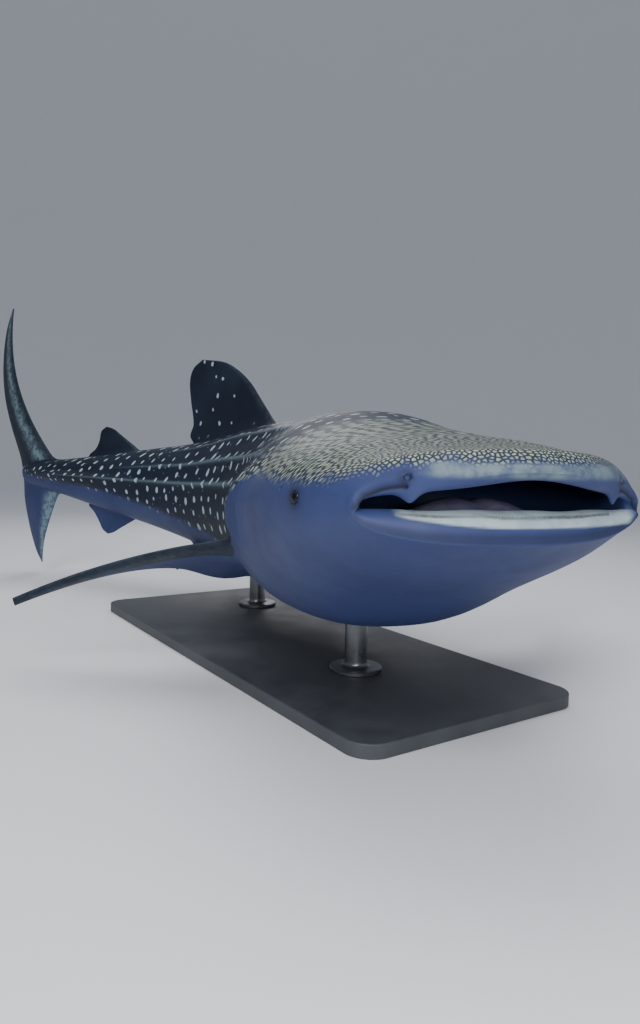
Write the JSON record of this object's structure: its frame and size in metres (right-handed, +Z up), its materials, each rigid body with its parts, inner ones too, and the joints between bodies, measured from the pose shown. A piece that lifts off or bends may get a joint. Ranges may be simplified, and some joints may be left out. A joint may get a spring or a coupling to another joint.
{
  "type": "whale shark model",
  "caption": "Life-size still model of a sub-adult whale shark, mouth open and body bent to its right, held on two rods over a flat display base.",
  "frame": {"origin": "centre of the underside of the stand's base, on the floor", "axes": "+X towards the head end along the longer side of the base, +Y to the animal's left, +Z up"},
  "size_m": [5.9428, 3.2831, 2.4019],
  "materials": {
    "skin": "satin, dark slate blue with cream spots and bars, pale lavender blue below",
    "mouth_lining": "satin, grey blue",
    "eye": "polished, near black",
    "stand": "matt dark grey",
    "rod": "satin dark grey"
  },
  "bodies": {
    "root": {"head": "skin", "lower_jaw": "skin", "tongue": "mouth_lining", "eye_right": "eye", "eye_left": "eye", "gill_flap_right_1": "skin", "gill_flap_right_2": "skin", "gill_flap_right_3": "skin", "gill_flap_right_4": "skin", "gill_flap_right_5": "skin", "gill_flap_left_1": "skin", "gill_flap_left_2": "skin", "gill_flap_left_3": "skin", "gill_flap_left_4": "skin", "gill_flap_left_5": "skin", "torso": "skin", "tail_stalk": "skin", "first_dorsal_fin": "skin", "second_dorsal_fin": "skin", "anal_fin": "skin", "caudal_fin_upper_lobe": "skin", "caudal_fin_lower_lobe": "skin", "pectoral_fin_right": "skin", "pelvic_fin_right": "skin", "pectoral_fin_left": "skin", "pelvic_fin_left": "skin", "stand_base": "stand", "stand_rod_front": "rod", "stand_rod_rear": "rod"}
  },
  "joints": []
}
